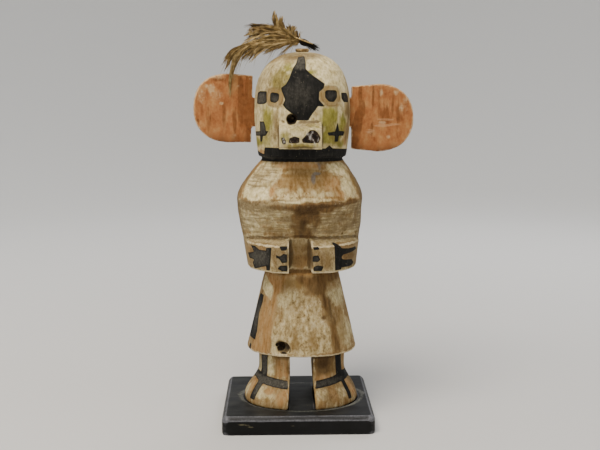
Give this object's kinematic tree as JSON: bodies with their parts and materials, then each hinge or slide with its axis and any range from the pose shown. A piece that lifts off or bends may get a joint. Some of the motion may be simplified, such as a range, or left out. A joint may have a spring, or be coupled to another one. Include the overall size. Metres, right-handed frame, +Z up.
{
  "type": "kachina doll",
  "caption": "Carved and painted wooden doll with a domed head, block muzzle, round board ears and a feather plume, standing on a chamfered black plinth.",
  "frame": {"origin": "centre of the plinth's flat underside", "axes": "+Z up along the figure, -Y towards the front that the face looks to, +X to the viewer's right"},
  "size_m": [0.1809, 0.104, 0.338],
  "materials": {
    "painted_wood": "worn earth paint over white ground, matte",
    "orange_wood": "worn orange-brown earth paint, matte",
    "plinth_black": "satin black paint, lightly scuffed",
    "tan_cord": "twisted fibre",
    "black_yarn": "fuzzy wool",
    "feather": "dry, frayed barbs"
  },
  "bodies": {
    "root": {"plinth": "plinth_black", "carved_figure": "painted_wood", "left_ear": "orange_wood", "right_ear": "orange_wood", "crown_cord_ring": "tan_cord", "plume_binding": "black_yarn", "tall_upright_feather": "feather", "stub_feather": "feather", "short_upright_feather": "feather", "upper_back_feather": "feather", "low_hanging_feather": "feather", "middle_feather": "feather", "long_drooping_feather": "feather", "left_tip_feather": "feather"}
  },
  "joints": []
}
